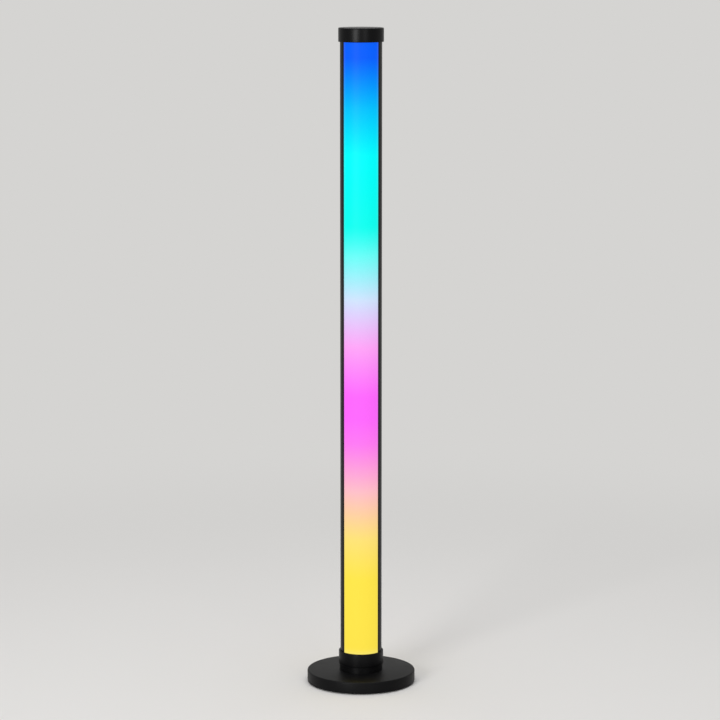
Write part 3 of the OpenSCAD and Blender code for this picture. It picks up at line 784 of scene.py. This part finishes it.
fitting = {
    "edge": 1.6, "rim": 0.9, "innerRim": 0.3, "partition": 2.0, "sides": 192,
    "bossRadius": 4.2, "rib": 1.6, "ribLow": 1.0, "insertHole": 2.85, "insertDepth": 8.0,
    "slotX": 5.15, "slotY": (1.9, 6.2), "portHole": 2.2, "padFace": 30.45, "padDepth": 2.4,
    "inletPad": 5.9, "inletHole": 4.15, "inletFrom": 12.0, "inletFace": 33.3, "inletFaceRadius": 6.0,
    "buttonPad": 5.7, "buttonHole": 3.8, "buttonFrom": 24.0, "buttonAngle": 35,
    "inletSides": 96, "buttonSides": 64,
    "cover": 2.5, "coverEdge": 0.4, "coverRim": 0.2, "ledge": 2.0, "skirt": 4.0, "skirtWall": 1.6,
    "bead": 0.35, "beadSteps": 10,
}
portHeight = (levels["bay"] + levels["column"] - fitting["partition"]) / 2
atInlet = Matrix.Translation((0, 0, portHeight)) @ Matrix.Rotation(math.radians(-90), 4, "X")
atButton = Matrix.Rotation(math.radians(-fitting["buttonAngle"]), 4, "Z") @ atInlet


def atPorts(mesh):
    return [moved(mesh, Matrix.Translation((side * portX, 0, 0))) for side in (-1, 1)]


def makeCollar():
    low, high, seat, bay = levels["collar"], levels["collarTop"], levels["column"], levels["bay"]
    roof, outside = seat - fitting["partition"], fittingRadius + 2 * beyond
    ring = turned(rounded([
        (0, seat), (bayRadius, seat), (bayRadius, high, fitting["innerRim"]),
        (fittingRadius, high, fitting["rim"]), (fittingRadius, low, fitting["edge"]),
        (bayRadius, low), (bayRadius, roof), (0, roof)]), fitting["sides"])
    toWall = (bayRadius + fittingRadius) / 2 - rings["column"][0]
    rib, ribLow = fitting["rib"] / 2, levels["board"] + fitting["ribLow"]
    bosses = ringOf(rod(fitting["bossRadius"], bay, roof + beyond), "column")
    ribs = ringOf(slab(0, toWall, -rib, rib, ribLow, roof + 1.1 * beyond), "column")
    pads = [moved(rod(fitting[kind], fitting["padFace"], fitting["padFace"] + fitting["padDepth"]), place)
            for kind, place in (("inletPad", atInlet), ("buttonPad", atButton))]
    bore, insertTop = fitting["insertHole"], bay + fitting["insertDepth"]
    inserts = ringOf(turned([
        (0, bay - beyond), (bore, bay - beyond), (bore, insertTop), (base["screwHole"], insertTop),
        (base["screwHole"], roof), (0, roof)], boreSides), "column")
    ports = atPorts(rod(fitting["portHole"], roof - beyond, seat + beyond))
    near, far = fitting["slotY"]
    slots = [slab(-fitting["slotX"], fitting["slotX"], y0, y1, roof - beyond, seat + beyond)
             for y0, y1 in ((-far, -near), (near, far))]
    hole, face, faceRadius = fitting["inletHole"], fitting["inletFace"], fitting["inletFaceRadius"]
    socketHole = moved(turned([
        (0, fitting["inletFrom"]), (hole, fitting["inletFrom"]), (hole, face), (faceRadius, face),
        (faceRadius, outside), (0, outside)], fitting["inletSides"]), atInlet)
    buttonHole = moved(rod(
        fitting["buttonHole"], fitting["buttonFrom"], outside, fitting["buttonSides"]), atButton)
    filled = carved(ring, bosses + ribs + pads, "UNION")
    showPiece("collarRing", carved(filled, inserts + ports + slots + [socketHole, buttonHole]), "collar")


def makeCap():
    low, high, seat = levels["cap"], levels["top"], levels["columnTop"]
    floor, ledge = seat + fitting["partition"], high - fitting["cover"]
    wellRadius = bayRadius - fitting["ledge"]
    beadHeight = ledge - fitting["skirt"] / 2
    groove = arc(fitting["bead"] + fit, 90, -90, fitting["beadSteps"], (wellRadius, beadHeight))
    rim = rounded([
        (bayRadius, seat), (bayRadius, low, fitting["innerRim"]), (fittingRadius, low, fitting["rim"]),
        (fittingRadius, high, fitting["edge"]), (bayRadius, high, fitting["coverRim"]), (bayRadius, ledge)])
    cap = turned([
        (0, seat), (bayRadius, seat), *rim[1:-1], (bayRadius, ledge), (wellRadius, ledge), *groove,
        (wellRadius, floor), (0, floor)], fitting["sides"])
    ports = atPorts(rod(fitting["portHole"], seat - beyond, floor + beyond))
    showPiece("topCap", carved(cap, ports), "top_cap")

    radius, skirtRadius, skirtLow = bayRadius - fit, wellRadius - fit, ledge - fitting["skirt"]
    skirtIn = skirtRadius - fitting["skirtWall"]
    bead = arc(fitting["bead"], 90, -90, fitting["beadSteps"], (skirtRadius, beadHeight))
    lid = rounded([(0, high), (radius, high, fitting["coverEdge"]), (radius, ledge)])
    cover = turned([
        (0, high), *lid[1:-1], (radius, ledge), (skirtRadius, ledge), *bead, (skirtRadius, skirtLow),
        (skirtIn, skirtLow), (skirtIn, ledge), (0, ledge)], fitting["sides"])
    showPiece("topCover", cover, "top_cover")


makeCollar()
makeCap()
print("collar and cap made")


# power inlet and button, drawn along their own axes

inlet = {
    "back": 18.3, "face": 33.3, "mouth": 34.5, "barrel": 4.0, "flange": 5.5, "bore": 2.8, "boreFloor": 25.0,
    "pitch": 0.75, "threadDepth": 0.4, "threadFrom": 19.2, "threadTo": 32.6, "runOut": 0.2, "sides": 64,
    "backEdge": 0.3, "flangeBack": 0.1, "flangeEdge": 0.4, "mouthEdge": 0.3,
    "pin": 1.05, "pinTip": 33.9, "pinEdge": 0.3, "pinSides": 32,
    "nut": 2.5, "nutFlat": 10.0, "nutBore": 4.05, "nutEdge": 0.3, "nutFace": 0.1, "nutSlope": 1.7,
    "nutRises": (0, 0.15, 0.3, 0.5), "nutSides": 96,
    "tabX": 1.9, "tabWidth": 2.4, "tabWall": 0.5, "tabLength": 4.0, "tabRound": 0.9, "tabHole": 0.6,
    "tabHoleUp": 1.1, "tabHoleSides": 24,
}
button = {
    "back": 29.4, "flange": 4.7, "flangeWall": 1.0, "flangeBack": 0.15, "flangeEdge": 0.1,
    "radius": 3.5, "face": 34.9, "lip": 0.02, "edge": 0.5, "sides": 96,
    "dish": 0.25, "dishRings": (2.6, 2.2, 1.8, 1.4, 1.0, 0.6, 0.3, 0),
}


def threadRings(radius, depth, pitch, low, high, sides, ringsPerTurn=6):
    # a right-hand thread as rings whose radius follows the helix
    count = round((high - low) / pitch * ringsPerTurn)

    def reach(angle, full, height):
        phase = (height / pitch - angle / 2 / math.pi) % 1
        return full - depth * abs(2 * phase - 1)

    heights = [low + (high - low) * ring / count for ring in range(count + 1)]
    return turnedRings([(radius, height) for height in heights], sides, reach)


def makeInlet():
    sides, barrel, bore, edge = inlet["sides"], inlet["barrel"], inlet["bore"], inlet["backEdge"]
    back, face, flange, mouth = inlet["back"], inlet["face"], inlet["flange"], inlet["mouth"]
    depth, threadFrom, threadTo = inlet["threadDepth"], inlet["threadFrom"], inlet["threadTo"]
    root, boreFloor = barrel - depth, inlet["boreFloor"]
    socket = wrap([
        *turnedRings([(0, back), (root - edge, back), (root, back + edge)], sides),
        *threadRings(barrel, depth, inlet["pitch"], threadFrom, threadTo, sides),
        *turnedRings([(root, threadTo + inlet["runOut"]), *rounded([
            (root, face), (flange, face, inlet["flangeBack"]), (flange, mouth, inlet["flangeEdge"]),
            (bore, mouth, inlet["mouthEdge"]), (bore, boreFloor), (0, boreFloor)])], sides)])
    showPiece("inletSocket", moved(socket, atInlet), "inlet_socket")
    pin = disc(inlet["pin"], boreFloor, inlet["pinTip"], 0, inlet["pinEdge"], inlet["pinSides"])
    showPiece("inletPin", moved(pin, atInlet), "inlet_pin")

    flat, nutBore, edge = inlet["nutFlat"] / 2, inlet["nutBore"], inlet["nutEdge"]
    low, high = fitting["padFace"] - inlet["nut"], fitting["padFace"]

    def hexagon(angle, radius, height):
        # flats drawn in from the corners, and a chamfer at both faces
        if radius < flat:
            return radius
        cone = flat - inlet["nutFace"] + inlet["nutSlope"] * min(height - low, high - height)
        return min(cone, flat / math.cos(angle % math.radians(60) - math.radians(30)))

    outside = [low + rise for rise in inlet["nutRises"]] + [high - rise for rise in inlet["nutRises"][::-1]]
    nut = wrap(turnedRings([
        *[(flat, height) for height in outside], (nutBore + edge, high), (nutBore, high - edge),
        (nutBore, low + edge), (nutBore + edge, low)], inlet["nutSides"], hexagon), loop=True)
    showPiece("inletNut", moved(nut, atInlet), "inlet_nut")

    half, wall, corner = inlet["tabWidth"] / 2, inlet["tabWall"] / 2, inlet["tabRound"]
    end = back - inlet["tabLength"]
    outline = rounded([(-half, end, corner), (half, end, corner), (half, back), (-half, back)])
    eye = moved(rod(inlet["tabHole"], -beyond, beyond, inlet["tabHoleSides"]),
                Matrix.Translation((0, end + inlet["tabHoleUp"], 0)))
    tab = carved(prism(outline, -wall, wall), [eye])
    pair = [moved(tab, Matrix.Translation((side * inlet["tabX"], 0, portHeight))) for side in (-1, 1)]
    showPiece("inletTabs", carved(pair[0], pair[1:], "UNION"), "inlet_tabs")


def makeButton():
    face, back, radius, flange = button["face"], button["back"], button["radius"], button["flange"]
    front = back + button["flangeWall"]
    dishRadius = radius ** 2 / 2 / button["dish"]
    dish = [(r, face - button["dish"] + r ** 2 / 2 / dishRadius) for r in button["dishRings"]]
    profile = rounded([
        (0, back), (flange, back, button["flangeBack"]), (flange, front, button["flangeEdge"]),
        (radius, front), (radius, face - button["lip"], button["edge"]), dish[0]])
    showPiece("powerButton", moved(turned([*profile, *dish[1:]], button["sides"]), atButton), "power_button")


makeInlet()
makeButton()
print("inlet and button made")


# screws, washers, inserts and feet: one of each, copied to its places

def copiesTree():
    # the unit at every point, turned to face away from the lamp's axis, and upside down where asked
    tree, given = newTree("copiesAtPoints", {"Unit": "Object", "Flip": "Float"})
    unit = outputOf(tree, "GeometryNodeObjectInfo", {"Object": given["Unit"]}, "Geometry")
    place = outputOf(tree, "GeometryNodeInputPosition")
    split = axesOf(tree, place)
    azimuth = maths(tree, "ARCTAN2", split["Y"], split["X"])
    angles = outputOf(tree, "ShaderNodeCombineXYZ", {"X": given["Flip"], "Z": azimuth})
    turn = outputOf(tree, "FunctionNodeEulerToRotation", {"Euler": angles})
    copies = outputOf(tree, "GeometryNodeInstanceOnPoints", {
        "Points": given["Geometry"], "Instance": unit, "Rotation": turn})
    return endTree(tree, copies, given)


copiesAtPoints = copiesTree()


def showCopies(name, node, unitMesh, places, flipped=False):
    points = bpy.data.meshes.new("places")
    points.from_pydata(places, [], [])
    unit = linked("unit", unitMesh)
    mesh = grown(points, copiesAtPoints, {
        "Unit": unit, "Flip": math.pi if flipped else 0.0, "Material": finishes[slotOf[node]]})
    bpy.data.objects.remove(unit)
    showPiece(name, mesh, node)


def ringPlaces(ring, height):
    radius, angles = rings[ring]
    return [(*polar(radius, angle), height) for angle in angles]


# radius, length, pitch and depth of the thread, threaded length, radius and height of the head
screwSetup = {
    "column": {"shank": 2.0, "length": 25.0, "pitch": 0.7, "depth": 0.38, "threaded": 16.0,
               "head": 3.5, "rise": 4.0, "edge": 0.4, "hex": True},
    "port": {"shank": 2.0, "length": 12.0, "pitch": 1.4, "depth": 0.5, "threaded": 11.4,
             "head": portScrewHead, "rise": 2.6, "edge": 1.17},
    "board": {"shank": 1.25, "length": 4.5, "pitch": 0.9, "depth": 0.32, "threaded": 4.2,
              "head": 2.25, "rise": 1.5, "edge": 0.67},
    "plate": {"shank": 1.5, "length": 8.0, "pitch": 0.5, "depth": 0.28, "threaded": 6.0,
              "head": 3.0, "rise": 0},
}
screwEnd = {"narrow": 0.7, "cone": 0.4, "firstThread": 0.5, "runOut": 0.3, "headEdge": 0.1}
hexRecess = {"reach": 0.5, "depth": 0.5}  # shares of the head's radius and of its height
crossRecess = {"arm": 0.95, "slot": 0.26, "depth": 0.7, "taper": 0.6}  # shares of the shank's radius
boardScrewSides = 24
washer = {"bore": 2.2, "radius": 4.5, "height": 1.0, "boreEdge": 0.1, "edge": 0.2, "sides": 64}
insert = {
    "radius": 2.8, "bore": 2.05, "length": 8.0, "teeth": 36, "toothDepth": 0.16, "toothSides": 4,
    "groove": 0.3, "edge": 0.2, "foot": 0.6, "bands": ((0.7, 3.5), (4.5, 7.3)),
}
foot = {"radius": 8.0, "height": 2.5, "edge": 0.6, "topEdge": 0.3, "sides": 72}


def screwMesh(kind, sides=32):
    # seat at height 0, head upwards; a head with no rise is countersunk
    setup = screwSetup[kind]
    shank, head, rise, tip = setup["shank"], setup["head"], setup["rise"], -setup["length"]
    root, threadEnd, headEdge = shank - setup["depth"], tip + setup["threaded"], screwEnd["headEdge"]
    if rise:
        top = rounded([(shank, 0), (head, 0, headEdge), (head, rise, setup["edge"]), (0, rise)])
    else:
        top = [(shank, shank - head), (head - headEdge, -headEdge), (head - headEdge, 0), (0, 0)]
    body = wrap([
        *turnedRings([(0, tip), (root * screwEnd["narrow"], tip), (root, tip + screwEnd["cone"])], sides),
        *threadRings(shank, setup["depth"], setup["pitch"], tip + screwEnd["firstThread"], threadEnd, sides),
        *turnedRings([(shank, threadEnd + screwEnd["runOut"]), *top], sides)])
    if setup.get("hex"):
        outline = [polar(head * hexRecess["reach"], 60 * i) for i in range(6)]
        floor, taper = rise * hexRecess["depth"], 1.0
    else:
        a, s = shank * crossRecess["arm"], shank * crossRecess["slot"]
        outline = [(a, -s), (a, s), (s, s), (s, a), (-s, a), (-s, s),
                   (-a, s), (-a, -s), (-s, -s), (-s, -a), (s, -a), (s, -s)]
        floor, taper = rise - shank * crossRecess["depth"], crossRecess["taper"]
    recess = wrap([[(x * share, y * share, z) for x, y in outline]
                   for share, z in ((taper, floor), (1, rise + proud), (1, rise + beyond))])
    return carved(body, [recess])


def knurledInsert():
    # brass bush with two knurled bands and a groove between them, which the plastic grips
    radius, bore, length, edge = insert["radius"], insert["bore"], insert["length"], insert["edge"]
    waist, teeth = radius - insert["groove"], insert["teeth"]

    def knurl(angle, r, z):
        tooth = insert["toothDepth"] * abs(2 * (angle * teeth / 2 / math.pi % 1) - 1)
        return r - tooth if r == radius else r

    outer = [(waist, 0), (waist, insert["foot"])]
    for low, high in insert["bands"]:
        outer += [(waist, low), (radius, low + edge), (radius, high - edge), (waist, high)]
    outer += [(waist, length), (bore + edge, length), (bore, length - edge), (bore, edge), (bore + edge, 0)]
    return wrap(turnedRings(outer, teeth * insert["toothSides"], knurl), loop=True)


def makeFasteners():
    partition, seat = fitting["partition"], lowest("column_washers").z
    bore, radius, height = washer["bore"], washer["radius"], washer["height"]
    ringMesh = turned(rounded([
        (bore, 0, washer["boreEdge"]), (radius, 0, washer["edge"]), (radius, height, washer["edge"]),
        (bore, height, washer["boreEdge"])]), washer["sides"], loop=True)
    footMesh = disc(foot["radius"], 0, foot["height"], foot["edge"], foot["topEdge"], foot["sides"])
    showCopies("capScrews", "cap_screws", screwMesh("port"),
               [(side * portX, 0, levels["columnTop"] + partition) for side in (-1, 1)])
    showCopies("collarScrews", "collar_screws", screwMesh("port"),
               [(side * portX, 0, levels["column"] - partition) for side in (-1, 1)], flipped=True)
    boardScrew = screwMesh("board", boardScrewSides)
    for name, node, mesh, ring, level, flipped in (
            ("columnScrews", "column_screws", screwMesh("column"), "column", seat, True),
            ("columnWashers", "column_washers", ringMesh, "column", seat, False),
            ("plateScrews", "plate_screws", screwMesh("plate"), "plate", levels["plate"], True),
            ("boardScrews", "board_screws", boardScrew, "board", levels["board"], False),
            ("threadedInserts", "threaded_inserts", knurledInsert(), "column", levels["bay"], False),
            ("rubberFeet", "rubber_feet", footMesh, "feet", 0, False)):
        showCopies(name, node, mesh, ringPlaces(ring, level), flipped)


makeFasteners()
print("fasteners and feet made")


# rows of LEDs

def rowTree():
    # copies of the unit at one pitch up the column
    tree, given = newTree("rowUpwards", {
        "Unit": "Object", "Count": "Int", "First": "Float", "Pitch": "Float"})
    unit = outputOf(tree, "GeometryNodeObjectInfo", {"Object": given["Unit"]}, "Geometry")
    start, step = upwards(tree, given["First"]), upwards(tree, given["Pitch"])
    line = outputOf(tree, "GeometryNodeMeshLine", {
        "Count": given["Count"], "Start Location": start, "Offset": step}, mode="OFFSET")
    copies = outputOf(tree, "GeometryNodeInstanceOnPoints", {"Points": line, "Instance": unit})
    return endTree(tree, copies, given)


def makeLedRows():
    half, top, corner, well = led["side"] / 2, led["height"], led["corner"], led["wellRadius"]
    outline = [(-half, -half), (half, -half), (half, half - corner), (half - corner, half), (-half, half)]
    floor = top - led["wellDepth"]
    hollow = turned([
        (0, floor), (led["wellFloor"], floor), (well, top + proud), (well, top + beyond), (0, top + beyond)],
        led["wellSides"])
    package = carved(prism(outline, 0, top), [hollow])
    tree = rowTree()
    for side, name, node in ((-1, "frontLeds", "front_leds"), (1, "rearLeds", "rear_leds")):
        facing = Matrix.Rotation(math.radians(-90 * side), 4, "X")
        unit = linked("unit", moved(package, Matrix.Translation((0, side * led["board"], 0)), facing))
        mesh = grown(bpy.data.meshes.new("none"), tree, {
            "Unit": unit, "Count": led["count"], "First": ledFirst, "Pitch": led["pitch"],
            "Material": finishes["led_package"]})
        bpy.data.objects.remove(unit)
        showPiece(name, mesh, node)


makeLedRows()
print("LED rows made")


# leads

leads = {
    "radius": 0.5, "sides": 20, "steps": 32, "spacing": 2.6, "socketY": 6.6, "socketTop": 5.5, "bend": 5.0,
    "wireY": 2.4, "padUp": 7.0, "padBack": 8.0, "tabX": 1.9, "tabEnd": 14.3, "tabBend": 2.5,
    "boardX": 2.5, "boardY": 10.3,
}


def wireTree():
    tree, given = newTree("wireAlongCurve", {"Radius": "Float"})
    outline = outputOf(tree, "GeometryNodeCurvePrimitiveCircle", {
        "Resolution": leads["sides"], "Radius": given["Radius"]})
    sweep = outputOf(tree, "GeometryNodeCurveToMesh", {
        "Curve": given["Geometry"], "Profile Curve": outline, "Fill Caps": True})
    return endTree(tree, sweep, given)


def makeLeads():
    tree = wireTree()

    def run(name, node, ways):
        curve = bpy.data.curves.new(name, "CURVE")
        curve.dimensions = "3D"
        for start, leave, arrive, end in ways:
            spline = curve.splines.new("BEZIER")
            spline.resolution_u = leads["steps"]
            spline.bezier_points.add(1)
            for point, place, before, after in zip(
                    spline.bezier_points, (start, end), (start, arrive), (leave, end)):
                point.handle_left_type = point.handle_right_type = "FREE"
                point.co, point.handle_left, point.handle_right = place, before, after
        showPiece(name, grown(curve, tree, {
            "Radius": leads["radius"], "Material": finishes[slotOf[node]]}), node)

    board, pad, bend = levels["board"], levels["column"] + leads["padUp"], leads["tabBend"]
    top = board + leads["socketTop"]
    for side, name, node in ((-1, "frontLeads", "front_leads"), (1, "rearLeads", "rear_leads")):
        socketY, wireY = side * leads["socketY"], side * leads["wireY"]
        run(name, node, [
            ((x, socketY, top), (x, socketY, top + leads["bend"]), (x, wireY, pad - leads["padBack"]),
             (x, wireY, pad)) for x in (-leads["spacing"], 0, leads["spacing"])])
    tabEnd, boardY = leads["tabEnd"], leads["boardY"]
    run("inletLeads", "inlet_leads", [
        ((tabX, tabEnd, portHeight), (tabX, tabEnd - bend, portHeight), (boardX, boardY, board + bend),
         (boardX, boardY, board))
        for tabX, boardX in ((-leads["tabX"], -leads["boardX"]), (leads["tabX"], leads["boardX"]))])


makeLeads()
print("leads made")


# what keeps the node's own shape, with its edges eased by the width given

easedPieces = {
    "front_led_board": ("frontLedBoard", 0.1), "rear_led_board": ("rearLedBoard", 0.1),
    "front_zone_chips": ("frontZoneChips", 0.15), "rear_zone_chips": ("rearZoneChips", 0.15),
    "control_board": ("controlBoard", 0), "wireless_module": ("wirelessModule", 0.25),
    "driver_chips": ("driverChips", 0.15), "choke": ("chokeBody", 0.5), "lead_sockets": ("leadSockets", 0.25),
    "button_switch": ("buttonSwitch", 0.15), "switch_plunger": ("switchPlunger", 0.2),
}
easing = {"weld": 1e-3, "flatAngle": 0.5, "edgeAngle": 50, "segments": 2}


def easedMesh(node, width):
    form = bmesh.new()
    form.from_mesh(nodes[node].data)
    form.transform(Matrix.Scale(1 / mm, 4))
    bmesh.ops.remove_doubles(form, verts=form.verts, dist=easing["weld"])
    flat = math.radians(easing["flatAngle"])
    bmesh.ops.dissolve_limit(form, angle_limit=flat, verts=form.verts, edges=form.edges)
    mesh = bpy.data.meshes.new(node)
    form.to_mesh(mesh)
    form.free()
    if not width:
        return mesh
    holder = linked("holder", mesh)
    bevel = holder.modifiers.new("ease", "BEVEL")
    bevel.width, bevel.segments, bevel.limit_method = width, easing["segments"], "ANGLE"
    bevel.angle_limit = math.radians(easing["edgeAngle"])
    result = evaluatedMesh(holder)
    bpy.data.objects.remove(holder)
    return result


for node, (name, width) in easedPieces.items():
    showPiece(name, easedMesh(node, width), node)
print("inner pieces eased")


neck = {"wallRadius": 33.0, "near": 0.01}  # its wall as the photograph shows it, almost as wide as the collar


def makeNeck():
    mesh, near = easedMesh("neck", 0), neck["near"]
    ownRadius = max(point.co.xy.length for point in mesh.vertices if point.co.z < levels["baseTop"] + near)
    for point in mesh.vertices:
        if point.co.z < levels["collar"] + near and point.co.xy.length > ownRadius - near:
            point.co.xy *= neck["wallRadius"] / point.co.xy.length
    showPiece("neckSpacer", mesh, "neck")


makeNeck()
print("neck made")


can = {
    "footEdge": 0.3, "groove": 0.35, "grooveUp": 1.4, "grooveHalf": 0.5, "grooveEdge": 0.2, "topEdge": 0.6,
    "vent": 0.12, "ventWidth": 0.3, "ventReach": 0.65, "sides": 64,
}


def makeCapacitor():
    low, high = lowest("smoothing_capacitor"), highest("smoothing_capacitor")
    radius, height = (high.x - low.x) / 2, high.z - low.z
    up, half, soft = can["grooveUp"], can["grooveHalf"], can["grooveEdge"]
    body = turned(rounded([
        (0, 0), (radius, 0, can["footEdge"]), (radius, up - half, soft), (radius - can["groove"], up, soft),
        (radius, up + half, soft), (radius, height, can["topEdge"]), (0, height)]), can["sides"])
    width, arm = can["ventWidth"] / 2, radius * can["ventReach"]
    vent = slab(-arm, arm, -width, width, height - can["vent"], height + beyond)
    for turn in (0, math.pi / 2):
        body = carved(body, [moved(vent, Matrix.Rotation(turn, 4, "Z"))])
    showPiece("smoothingCapacitor", moved(body, Matrix.Translation(
        ((low.x + high.x) / 2, (low.y + high.y) / 2, low.z))), "smoothing_capacitor")


makeCapacitor()
print("capacitor made")
